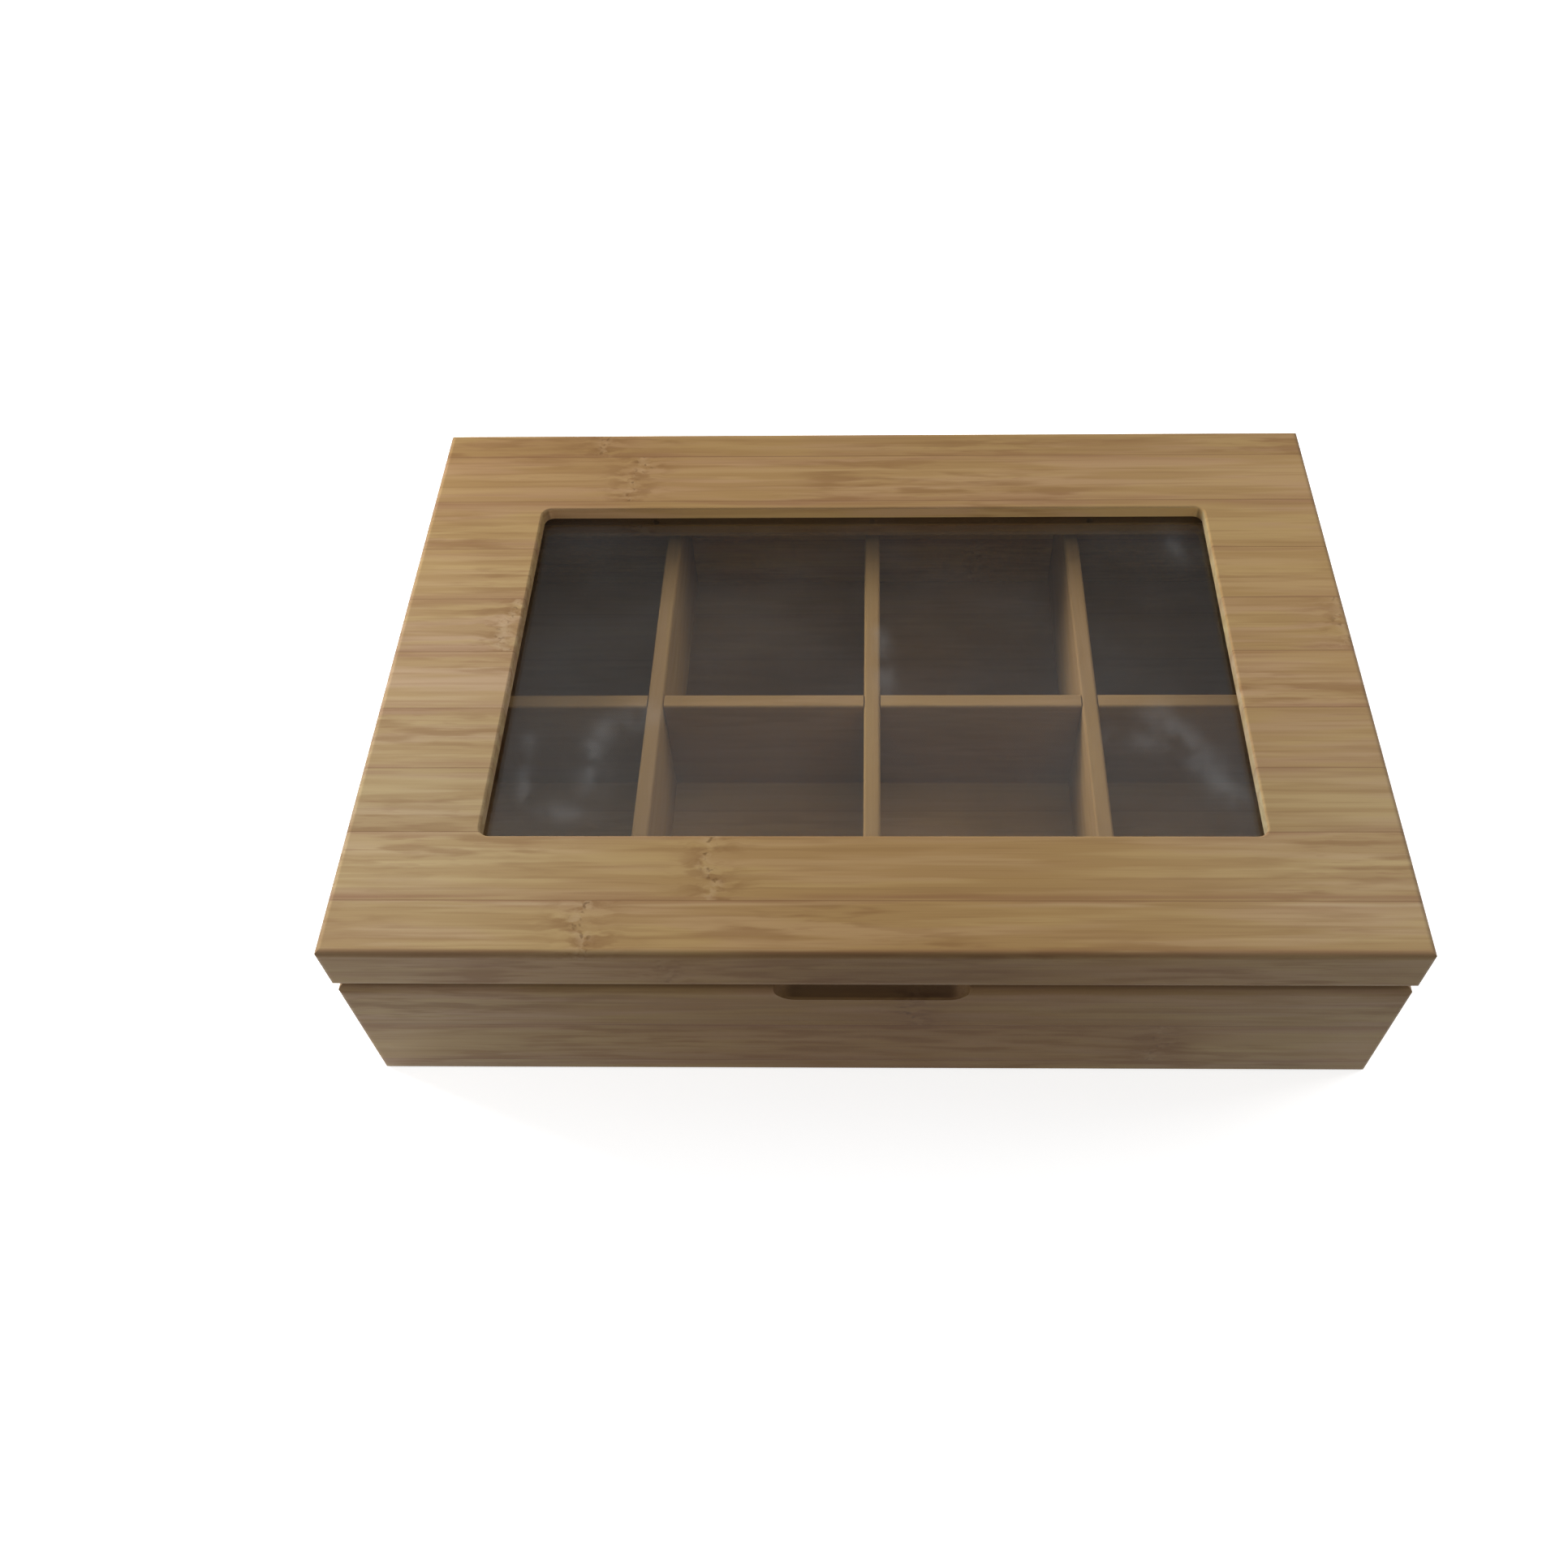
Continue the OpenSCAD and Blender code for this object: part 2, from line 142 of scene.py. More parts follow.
def new_group(name, inputs, outputs):
    """Starts a node group; returns its tree, its inputs by name and the node its outputs go to."""
    tree = bpy.data.node_groups.new(name, "ShaderNodeTree")
    for way, sockets in (("INPUT", inputs), ("OUTPUT", outputs)):
        for label, kind in sockets.items():
            tree.interface.new_socket(label, in_out=way, socket_type="NodeSocket" + kind)
    given = tree.nodes.new("NodeGroupInput").outputs
    return tree, given, tree.nodes.new("NodeGroupOutput")


def use_group(tree, group, inputs):
    """Places a node group, feeds its inputs by name, and returns its outputs."""
    node = put(tree, "Group", node_tree=group)
    for name, value in inputs.items():
        feed(tree, node.inputs[name], value)
    return node.outputs


def new_material(name):
    """An empty node material; returns it with its tree and output node."""
    material = bpy.data.materials.new(name)
    material.use_nodes = True
    material.node_tree.nodes.clear()
    return material, material.node_tree, put(material.node_tree, "OutputMaterial")


print("node helpers ready")

# %% [markdown]
# ## The strips of a bamboo board
#
# Bamboo board is glued up from strips split out of the stalk, here 22 mm wide. Each strip comes from
# another stalk, so each has its own tone, and between two of them runs a hair-thin glue line. An image
# of boards could be mapped on, but it would repeat and stretch. Instead the position across the board is
# divided by the strip width: the whole part is the strip's number, and the rest is the place in it.

# %% Build the strip group
SEAM_EDGE = 0.30 * MM
SEAM_CORE = 0.08 * MM


def build_strips():
    tree, given, out = new_group(
        "bamboo strips",
        {"Grain": "Vector", "Width": "Float", "Line": "Float", "Seed": "Float"},
        {"Number": "Float", "Across": "Float", "Seam": "Float", "Tone": "Float", "Hue": "Float"},
    )
    place = put(tree, "SeparateXYZ", {0: given["Grain"]}).outputs
    ratio = maths(tree, "DIVIDE", maths(tree, "SUBTRACT", place[1], given["Line"]), given["Width"])
    number = maths(tree, "FLOOR", ratio)
    across = maths(tree, "SUBTRACT", maths(tree, "FRACT", ratio), 0.5)
    key = maths(tree, "ADD", number, given["Seed"])
    random = put(tree, "TexWhiteNoise", {"W": key}, noise_dimensions="1D").outputs
    split = put(tree, "SeparateColor", {0: random["Color"]}).outputs
    to_line = maths(tree, "SUBTRACT", 0.5, maths(tree, "ABSOLUTE", across))
    distance = maths(tree, "MULTIPLY", to_line, given["Width"])
    feed(tree, out.inputs["Number"], number)
    feed(tree, out.inputs["Across"], across)
    feed(tree, out.inputs["Seam"], soft_step(tree, distance, SEAM_EDGE, SEAM_CORE))
    feed(tree, out.inputs["Tone"], split[0])
    feed(tree, out.inputs["Hue"], split[1])
    return tree


strips_group = build_strips()
print("group:", strips_group.name)

# %% [markdown]
# ## The knuckles
#
# A bamboo stalk has a joint about every 30 cm. Where a strip crosses one, a narrow chain of dark specks
# and pale patches runs across it, and brown clouds lie on both sides. The group gives bell-shaped masks
# for one such knuckle on one strip: the narrow chain, and the wide halo in which the fibres bend.

# %% Build the knuckle group
CHAIN_WIDTH = 1.9 * MM
HALO_WIDTH = 8.5 * MM
CHAIN_WANDER = 13 * MM


def bell(tree, distance, width):
    """A bell curve: 1 at distance 0, fading out past the width."""
    ratio = maths(tree, "DIVIDE", distance, width)
    square = maths(tree, "MULTIPLY", ratio, ratio)
    return maths(tree, "EXPONENT", maths(tree, "MULTIPLY", square, -1.0))


def build_knuckle():
    tree, given, out = new_group(
        "bamboo knuckle",
        {"Grain": "Vector", "Number": "Float", "Strip": "Float", "Place": "Float", "Strength": "Float"},
        {"Chain": "Float", "Halo": "Float"},
    )
    along = put(tree, "SeparateXYZ", {0: given["Grain"]}).outputs[0]
    wobble = maths(tree, "SUBTRACT", noise(tree, scaled(tree, given["Grain"], 30, 170, 170)), 0.5)
    wandering = maths(tree, "ADD", along, maths(tree, "MULTIPLY", wobble, CHAIN_WANDER))
    distance = maths(tree, "SUBTRACT", wandering, given["Place"])
    same_strip = put(tree, "Math", {0: given["Number"], 1: given["Strip"], 2: 0.5}, operation="COMPARE")
    power = maths(tree, "MULTIPLY", same_strip.outputs[0], given["Strength"])
    feed(tree, out.inputs["Chain"], maths(tree, "MULTIPLY", bell(tree, distance, CHAIN_WIDTH), power))
    feed(tree, out.inputs["Halo"], maths(tree, "MULTIPLY", bell(tree, distance, HALO_WIDTH), power))
    return tree


knuckle_group = build_knuckle()
print("group:", knuckle_group.name)

# %% [markdown]
# ## Streaks along the grain
#
# Between the knuckles the figure is all long soft streaks. They are cloudy noise, squeezed across the
# grain, so one small group serves every size of streak: it is told how long and how thick a streak is.
# Because the noise is solid, a cut across the grain shows the ends of the same streaks as dots, as real
# end grain does. Near a knuckle the fibres swell, so there the streaks are pushed aside.

# %% Build the streak group
FIBRE_PUSH = 9 * MM


def build_streaks():
    tree, given, out = new_group(
        "bamboo streaks",
        {"Grain": "Vector", "Shift": "Float", "Halo": "Float", "Length": "Float", "Thickness": "Float"},
        {"Value": "Float"},
    )
    swirl = maths(tree, "SUBTRACT", noise(tree, scaled(tree, given["Grain"], 130, 210, 210)), 0.5)
    push = maths(tree, "MULTIPLY", maths(tree, "MULTIPLY", swirl, given["Halo"]), FIBRE_PUSH)
    place = put(tree, "SeparateXYZ", {0: given["Grain"]}).outputs
    along = maths(tree, "ADD", place[0], given["Shift"])
    across = maths(tree, "ADD", place[1], push)
    squeezed = put(tree, "CombineXYZ", {
        0: maths(tree, "DIVIDE", along, given["Length"]),
        1: maths(tree, "DIVIDE", across, given["Thickness"]),
        2: maths(tree, "DIVIDE", place[2], given["Thickness"]),
    }).outputs[0]
    feed(tree, out.inputs["Value"], noise(tree, squeezed, 2.0))
    return tree


streak_group = build_streaks()
print("group:", streak_group.name)

# %% [markdown]
# ## Worn edges
#
# Hands polish a box along its edges first. The Bevel node returns the normal that a rounded edge would
# have; where that differs from the true normal, there is an edge. The difference is a ready-made mask.

# %% Build the edge wear group
SAME_WAY = 0.995
WELL_TURNED = 0.85


def build_edge_wear():
    tree, given, out = new_group("edge wear", {"Radius": "Float"}, {"Worn": "Float"})
    rounded = put(tree, "Bevel", {"Radius": given["Radius"]}, samples=4).outputs[0]
    true_normal = put(tree, "NewGeometry").outputs["True Normal"]
    agreement = put(tree, "VectorMath", {0: rounded, 1: true_normal}, operation="DOT_PRODUCT")
    feed(tree, out.inputs["Worn"], soft_step(tree, agreement.outputs["Value"], SAME_WAY, WELL_TURNED))
    return tree


wear_group = build_edge_wear()
print("group:", wear_group.name)

# %% [markdown]
# ## The bamboo finish
#
# Now the groups come together. A board is told which way its grain runs and which way its strips lie
# beside each other, where one glue line is, and where its knuckles are. Colours go from the general to
# the particular: patches, bands, streaks, the reddish skin side of a strip, dashes, knuckles, glue lines
# and wear, and with them painted light and painted shade. The surface is oiled and not varnished, so it
# has only a low, broad sheen.

# %% Choose the bamboo colours
STRIP_WIDTH = 22.05 * MM
AXES = {"X": 0, "Y": 1, "Z": 2}
OILED = {
    "straw": colour(155, 127, 83),
    "rose": colour(154, 124, 88),
    "tan": colour(141, 111, 70),
    "brown": colour(124, 92, 57),
    "red": colour(127, 92, 62),
    "pale": colour(163, 136, 99),
    "speck": colour(84, 57, 33),
    "glue": colour(112, 80, 53),
    # The last two are painted light: a pale painted sheen, and the paler look of an inner edge the lamps
    # light.
    "painted_sheen": colour(171, 150, 112),
    "painted_lit_edge": colour(156, 137, 98),
}
print("tones of oiled bamboo:", ", ".join(OILED))

# %% [markdown]
# ## A board's own order
#
# The strips and streaks need to know where a point is along the grain, across the strips and into the
# board. Object coordinates give x, y and z, and stay with the piece when it turns. Each board's parts of
# them are put in its own order here, so one set of groups serves a lid, a wall and a divider alike.

# %% Put a board's own order on its coordinates
def object_place(tree):
    """The place on the piece, in metres, in the frame's own axes."""
    return put(tree, "TexCoord").outputs["Object"]


def place_parts(tree):
    """The x, y and z of the place, as three outputs."""
    return put(tree, "SeparateXYZ", {0: object_place(tree)}).outputs


def grain_vector(tree, grain, across):
    """Object coordinates in the board's own order: along the grain, across the strips, into the board."""
    into = next(axis for axis in "XYZ" if axis not in (grain, across))
    place = place_parts(tree)
    ordered = {i: place[AXES[axis]] for i, axis in enumerate((grain, across, into))}
    return put(tree, "CombineXYZ", ordered).outputs[0]


def blend_in(tree, below, tone, mask, share):
    """Lays a tone over what is below where the mask is 1, as strongly as the share says."""
    return mixed(tree, maths(tree, "MULTIPLY", mask, share), below, tone)


def times(tree, *factors):
    """All the factors multiplied."""
    product = factors[0]
    for factor in factors[1:]:
        product = maths(tree, "MULTIPLY", product, factor)
    return product


print("coordinates can be put in a board's order")

# %% [markdown]
# ## Sorted strips and skin lines
#
# A maker sorts the strips by eye, so a yellow one lies beside a pinkish or a browner one. On one edge of
# a strip the stalk's skin is near, and leaves a thin reddish line that comes and goes. A board is also
# not equally light all over: soft marks make one place of it paler, or darker, than the rest. Most of
# these marks are painted light and painted shade, standing in for the lamps' light and shade. All three
# are given as short lists for each board. A mark could be mixed in like paint, but that would hide the
# grain, so it multiplies the figure below it and the streaks still show through.

# %% Lay the sorted tints, the skin lines and the marks
LINE_SWAY = 1.6 * MM


def lay_tints(tree, wood, strips, tones, tints):
    """tints are (strip number, tone, share)."""
    for strip, tone, share in tints:
        same = put(tree, "Math", {0: strips["Number"], 1: float(strip), 2: 0.5}, operation="COMPARE")
        wood = blend_in(tree, wood, tones[tone], same.outputs[0], share)
    return wood


def lay_lines(tree, wood, vector, tones, lines):
    """lines are (place across the board in mm, half width in mm, tone, share)."""
    place = put(tree, "SeparateXYZ", {0: vector}).outputs
    sway = maths(tree, "SUBTRACT", noise(tree, scaled(tree, vector, 22, 0, 0)), 0.5)
    across = maths(tree, "ADD", place[1], maths(tree, "MULTIPLY", sway, LINE_SWAY))
    for middle, half_width, tone, share in lines:
        run = noise(tree, scaled(tree, vector, 14, 300, 300))
        there = soft_step(tree, run, 0.36, 0.52)
        line = bell(tree, maths(tree, "SUBTRACT", across, middle * MM), half_width * MM)
        wood = blend_in(tree, wood, tones[tone], times(tree, line, there), share)
    return wood


def spot(point, radius):
    """A mask that is 1 at the point and fades out past the radius; both in mm."""
    def mask(tree):
        inputs = {0: object_place(tree), 1: Vector(point) * MM}
        away = put(tree, "VectorMath", inputs, operation="DISTANCE").outputs["Value"]
        return bell(tree, away, radius * MM)
    return mask


def lay_marks(tree, wood, tones, marks):
    """Each mark is (function that makes a mask, tone, share); most are painted sheen or painted shade, and
    the streaks show through.
    """
    for mask, tone, share in marks:
        change = tuple(new / usual for new, usual in zip(tones[tone], tones["straw"]))
        strength = maths(tree, "MULTIPLY", mask(tree), share)
        wood = mixed(tree, strength, wood, change, blend="MULTIPLY")
    return wood


print("tints, skin lines and marks ready")

# %% [markdown]
# ## Knuckles on a board
#
# The knuckle group is used once for each knuckle of the board. Over the streaks go, in this order, brown
# clouds on both sides, pale patches in the chain, and last the small dark specks. A knuckle may go
# through the whole board or lie in one layer of it, as where a face shows it and the edge doesn't.

# %% Lay the knuckles
KNUCKLE_LAYERS = {
    "brown": ((130, 380, 380), 3.0, 0.44, 0.60, 0.75),
    "pale": ((360, 420, 420), 2.0, 0.44, 0.56, 0.50),
    "speck": ((560, 560, 560), 1.0, 0.57, 0.70, 0.55),
}


def knuckle_masks(tree, vector, number, knuckles):
    """The chain and halo masks of all the knuckles of a board, each the strongest at its place.

    knuckles are (strip number, place along the grain in mm, strength), and for one that lies in a layer
    also the layer's lower and upper face in mm.
    """
    chain = 0.0
    halo = 0.0
    depth = put(tree, "SeparateXYZ", {0: vector}).outputs[2]
    for strip, place, strength, *layer in knuckles:
        if layer:
            low, high = layer
            above = soft_step(tree, depth, (low - 0.5) * MM, (low + 0.5) * MM)
            below = soft_step(tree, depth, (high + 0.5) * MM, (high - 0.5) * MM)
            strength = times(tree, above, below, strength)
        mark = use_group(tree, knuckle_group, {
            "Grain": vector, "Number": number, "Strip": float(strip), "Place": place * MM,
            "Strength": strength,
        })
        chain = maths(tree, "MAXIMUM", mark["Chain"], chain)
        halo = maths(tree, "MAXIMUM", mark["Halo"], halo)
    return chain, halo


def lay_knuckles(tree, wood, vector, tones, chain, halo):
    """Returns the wood with its knuckles, and the mask of the dark specks.

    A layer has the scale and detail of its noise, where a spot of it begins and is full, and its share.
    """
    areas = {"brown": halo, "pale": chain, "speck": chain}
    masks = {}
    for tone, (scale, detail, start, end, share) in KNUCKLE_LAYERS.items():
        spots = soft_step(tree, noise(tree, scaled(tree, vector, *scale), detail), start, end)
        masks[tone] = times(tree, spots, areas[tone])
        wood = blend_in(tree, wood, tones[tone], masks[tone], share)
    return wood, masks["speck"]


print("knuckles ready")

# %% [markdown]
# ## The figure of a board
#
# All the streaks of a board come from one table: how long and thick each kind is in millimetres, and
# from which to which value of the noise a streak sets in. Patches and bands are broad and soft, flames
# are shorter and darker, threads and dashes are fine. Flames and dashes gather in the livelier parts of
# a board and leave others calm. A second table says how strongly each kind is laid.

# %% Draw the figure
STREAKS = {
    "patches": (52, 7.0, 0.42, 0.58),
    "bands": (70, 4.2, 0.44, 0.60),
    "flames": (24, 3.4, 0.46, 0.64),
    "threads": (46, 1.3, 0.50, 0.66),
    "dashes": (9, 1.0, 0.55, 0.68),
    "fibres": (30, 0.4, 0.30, 0.70),
    "lively": (110, 30.0, 0.44, 0.58),
}
SHARES = {"bands": 0.70, "flames": 0.66, "threads": 0.28, "skin": 0.55, "dashes": 0.28, "glue": 0.55}
STRIP_SHIFT = 0.37


def streak_runs(tree, vector, strips, seed, halo):
    """Two dictionaries over the kinds of streak: the clear-cut masks, and the soft noise they come from."""
    shift = maths(tree, "MULTIPLY", maths(tree, "ADD", strips["Number"], seed), STRIP_SHIFT)
    masks = {}
    runs = {}
    for kind, (length, thickness, start, end) in STREAKS.items():
        runs[kind] = use_group(tree, streak_group, {
            "Grain": vector, "Shift": shift, "Halo": halo,
            "Length": length * MM, "Thickness": thickness * MM,
        })["Value"]
        masks[kind] = soft_step(tree, runs[kind], start, end)
    return masks, runs


def draw_figure(tree, strips, tones, tints, masks, runs):
    """The wood's colour from its strips and streaks."""
    wood = mixed(tree, masks["patches"], tones["straw"], tones["rose"])
    wood = lay_tints(tree, wood, strips, tones, tints)
    flames = times(tree, masks["flames"], masks["lively"])
    dashes = times(tree, masks["dashes"], masks["lively"])
    wood = blend_in(tree, wood, tones["tan"], masks["bands"], SHARES["bands"])
    wood = blend_in(tree, wood, tones["brown"], flames, SHARES["flames"])
    wood = blend_in(tree, wood, tones["brown"], masks["threads"], SHARES["threads"])
    skin_side = soft_step(tree, maths(tree, "ABSOLUTE", strips["Across"]), 0.28, 0.50)
    red_run = times(tree, soft_step(tree, runs["bands"], 0.56, 0.42), skin_side)
    wood = blend_in(tree, wood, tones["red"], red_run, SHARES["skin"])
    return blend_in(tree, wood, tones["red"], dashes, SHARES["dashes"])


print("kinds of streak:", ", ".join(STREAKS))

# %% [markdown]
# ## Light and dark on a board
#
# Each strip is a little lighter or darker than its neighbours, and worn edges are lighter. Two lists of
# functions may be given for a board: painted light, for masks of faces painted paler where the lamps
# light them more, and painted shade, for masks of places painted darker where shade falls. Both could
# be painted as an image, but as masks of the place they are sharp at any size.

# %% Shade the board
# The brown that painted shade multiplies in.
SHADE_BROWN = (0.13, 0.05, 0.0, 1.0)
STRIP_CONTRAST = 0.10
FIBRE_CONTRAST = 0.045
WORN_LIGHT = 0.05


def strongest(tree, masks):
    """masks are (function that makes a mask, share)."""
    total = 0.0
    for mask, share in masks:
        total = maths(tree, "MAXIMUM", times(tree, mask(tree), share), total)
    return total


def off_middle(tree, value, contrast):
    """How far a value that lies about 0.5 is off it, times the contrast."""
    return maths(tree, "MULTIPLY", maths(tree, "SUBTRACT", value, 0.5), contrast)


def shade_board(tree, wood, strips, fibres, worn, level, painted_light, painted_shade):
    """The wood's colour at its own brightness, with painted light and painted shade laid on."""
    tone = off_middle(tree, strips["Tone"], STRIP_CONTRAST)
    fine = off_middle(tree, fibres, FIBRE_CONTRAST)
    brightness = maths(tree, "ADD", maths(tree, "ADD", tone, fine), level)
    brightness = maths(tree, "ADD", brightness, maths(tree, "MULTIPLY", worn, WORN_LIGHT))
    # Painted light: faces made paler where the lamps light them more.
    if painted_light:
        brightness = maths(tree, "ADD", brightness, strongest(tree, painted_light))
    shade = put(tree, "CombineColor", {0: brightness, 1: brightness, 2: brightness}).outputs[0]
    final = mixed(tree, 1.0, wood, shade, blend="MULTIPLY")
    # Painted shade: places made darker, in brown, where shade falls.
    if painted_shade:
        final = mixed(tree, strongest(tree, painted_shade), final, SHADE_BROWN, blend="MULTIPLY")
    return final


print("paler and darker places ready")

# %% [markdown]
# ## The whole board
#
# The bamboo function lays everything in order and connects the shader. The oil leaves the wood satin: the
# flames are a little rougher, worn edges smoother, and the fibres stand up by a few hundredths of a
# millimetre, which a Bump node gives without any change of the mesh.

# %% Define the bamboo material
SATIN = 0.46
FLAME_ROUGHNESS = 0.20
WORN_POLISH = 0.08
DASH_HEIGHT = 0.6
SEAM_DEPTH = 0.8
SPECK_DEPTH = 0.5
FIBRE_RELIEF = 0.05 * MM
WEAR_RADIUS = 1.2 * MM


def roughness(tree, runs, worn):
    """Satin, rougher on the flames and smoother where it is worn."""
    rough = maths(tree, "ADD", times(tree, runs["flames"], FLAME_ROUGHNESS), SATIN)
    return maths(tree, "SUBTRACT", rough, times(tree, worn, WORN_POLISH))


def relief(tree, runs, seam, speck_mask):
    """The normal of the fibres' ridges, with dents along glue lines and in the dark specks."""
    ridges = maths(tree, "ADD", runs["fibres"], times(tree, runs["dashes"], DASH_HEIGHT))
    dents = maths(tree, "ADD", times(tree, seam, SEAM_DEPTH), times(tree, speck_mask, SPECK_DEPTH))
    height = maths(tree, "SUBTRACT", ridges, dents)
    return put(tree, "Bump", {"Strength": 0.3, "Distance": FIBRE_RELIEF, "Height": height}).outputs[0]


def bamboo(name, grain, across, line, seed, tones, knuckles=(), tints=(), lines=(), marks=(), painted_shade=(),
           painted_light=(), level=1.0):
    """Makes a bamboo material.

    grain and across are the axes along the fibres and across the strips, line is where one glue line
    lies, and level is the brightness. The lists are explained where each is laid.
    """
    material, tree, output = new_material(name)
    vector = grain_vector(tree, grain, across)
    strips = use_group(tree, strips_group,
                       {"Grain": vector, "Width": STRIP_WIDTH, "Line": line, "Seed": seed})
    chain, halo = knuckle_masks(tree, vector, strips["Number"], knuckles)
    masks, runs = streak_runs(tree, vector, strips, seed, halo)
    worn = use_group(tree, wear_group, {"Radius": WEAR_RADIUS})["Worn"]

    wood = draw_figure(tree, strips, tones, tints, masks, runs)
    wood = lay_lines(tree, wood, vector, tones, lines)
    wood, speck_mask = lay_knuckles(tree, wood, vector, tones, chain, halo)
    wood = blend_in(tree, wood, tones["glue"], strips["Seam"], SHARES["glue"])
    wood = lay_marks(tree, wood, tones, marks)
    surface = put(tree, "BsdfPrincipled", {
        "Base Color": shade_board(tree, wood, strips, masks["fibres"], worn, level, painted_light, painted_shade),
        "Roughness": roughness(tree, runs, worn),
        "Normal": relief(tree, runs, strips["Seam"], speck_mask),
        "Specular IOR Level": 0.22,
    })
    feed(tree, output.inputs["Surface"], surface.outputs[0])
    return material


def finish_node(name, material):
    """Gives a piece of the frame its material."""
    piece = nodes[name]
    if not piece.material_slots:
        piece.data.materials.append(material)
    for place in piece.material_slots:
        place.material = material


print("bamboo strips are", round(STRIP_WIDTH / MM, 2), "mm wide")

# %% [markdown]
# ## The lid board
#
# The lid is one wide board with the window cut out of it, so all its strips run left to right, also in
# the two end rails. Its knuckles sit where each strip happened to cross a joint of the stalk. Strip
# numbers count backwards and forwards from the glue line that is named first.

# %% Plan the lid board
LID_LINE = -85.9 * MM
LID_KNUCKLES = [
    (-1, -76, 1.0, 65.5, 70),
    (-1, -53, 0.5, 48, 65.5),
    (0, -44.5, 1.0),
    (4, -111, 0.9),
    (4, 143, 0.7),
    (7, -79, 1.0),
    (8, -91.5, 0.9),
]
LID_TINTS = [
    (-1, "straw", 0.35),
    (0, "straw", 0.50),
    (1, "straw", 0.45),
    (2, "tan", 0.35),
    (3, "rose", 0.35),
    (5, "straw", 0.65),
    (7, "rose", 0.40),
    (8, "tan", 0.30),
]
LID_LINES = [
    (-84.9, 1.1, "red", 0.65),
    (-87.0, 0.6, "pale", 0.70),
    (-101.4, 0.9, "red", 0.60),
    (1.0, 0.9, "red", 0.50),
    (67.2, 0.9, "red", 0.45),
]
print("the lid has", len(LID_KNUCKLES), "knuckles and", len(LID_LINES), "skin lines")

# %% [markdown]
# ## The lid's painted light and shade
#
# The window's inner edges at the right and the back are painted paler than the board's face, where the
# lamps light them more, and the side faces are painted darker, most of all the two ends, as painted shade.
# So is the middle of the front face, and the front corners carry a painted sheen. Such places are easy to
# say in numbers: a mask is a product of soft steps on x, y and z, measured from the edge that it belongs
# to.

# %% Finish the lid board
LID_HALF_W = 145 * MM
LID_HALF_D = 102.5 * MM
LID_TOP = 68 * MM
WINDOW_HALF_W = 108 * MM
WINDOW_HALF_D = 65 * MM


def window_cut(axis, half, other_half, fade):
    """A mask of the window's inner edge on the far side of one axis."""
    def mask(tree):
        place = place_parts(tree)
        other = place[1 - axis]
        facing = soft_step(tree, place[axis], half - fade, half - 0.1 * MM)
        skin_deep = soft_step(tree, place[axis], half + 0.7 * MM, half + 0.3 * MM)
        between_ends = soft_step(tree, maths(tree, "ABSOLUTE", other),
                                 other_half + 0.4 * MM, other_half - 0.6 * MM)
        below_top = soft_step(tree, place[2], LID_TOP - 0.2 * MM, LID_TOP - 0.8 * MM)
        return times(tree, facing, skin_deep, between_ends, below_top)
    return mask


def lid_sides(tree):
    """The lid's long side faces."""
    from_middle = maths(tree, "ABSOLUTE", place_parts(tree)[1])
    return soft_step(tree, from_middle, LID_HALF_D - 1.4 * MM, LID_HALF_D - 0.3 * MM)


def lid_ends(tree):
    """The lid's short side faces, which are end grain."""
    from_middle = maths(tree, "ABSOLUTE", place_parts(tree)[0])
    return soft_step(tree, from_middle, LID_HALF_W - 1.6 * MM, LID_HALF_W - 0.6 * MM)


def opening_side(tree):
    """The middle of the lid's front face, above the finger scoop."""
    front = soft_step(tree, place_parts(tree)[1], -LID_HALF_D + 1.4 * MM, -LID_HALF_D + 0.3 * MM)
    return times(tree, front, spot((12, -102, 59), 75)(tree))


# The window's right and back inner edges are painted paler, as painted light.
window_right_painted_light = window_cut(0, WINDOW_HALF_W, WINDOW_HALF_D, 0.6 * MM)
window_back_painted_light = window_cut(1, WINDOW_HALF_D, WINDOW_HALF_W, 0.5 * MM)
# The pale spots are a painted sheen, and the window's right inner edge is painted light.
LID_MARKS = [
    (spot((-134, -58, 66), 62), "painted_sheen", 1.0),
    (spot((142, -72, 66), 62), "painted_sheen", 0.70),
    (spot((125, 70, 66), 70), "painted_sheen", 0.12),
    (spot((-128, 25, 66), 50), "painted_sheen", 0.24),
    (spot((-95, 95, 66), 45), "tan", 0.60),
    (window_right_painted_light, "painted_lit_edge", 1.0),
]
# Painted shade on the lid's side faces, its ends and the middle of its front face; painted light on the
# window's back inner edge.
LID_PAINTED_SHADE = [(lid_sides, 0.28), (lid_ends, 0.44), (opening_side, 0.50)]
LID_PAINTED_LIGHT = [(window_back_painted_light, 1.2)]
lid_bamboo = bamboo("bamboo lid", "X", "Y", LID_LINE, 3.0, OILED, knuckles=LID_KNUCKLES,
                    tints=LID_TINTS, lines=LID_LINES, marks=LID_MARKS, painted_shade=LID_PAINTED_SHADE, painted_light=LID_PAINTED_LIGHT)
finish_node("lid_board", lid_bamboo)
print("the lid board has its finish")

# %% [markdown]
# ## The walls
#
# A wall is two strips high, with the glue line a little above its middle. The long walls have their
# grain from left to right and the short ones from front to back, so the mitres show end grain nowhere.
# The outer faces are painted darker upwards, most of all along the joint under the lid and in the finger
# scoop, as painted shade, and the inner faces are painted paler, as painted light. One list of masks does
# this for all four walls.

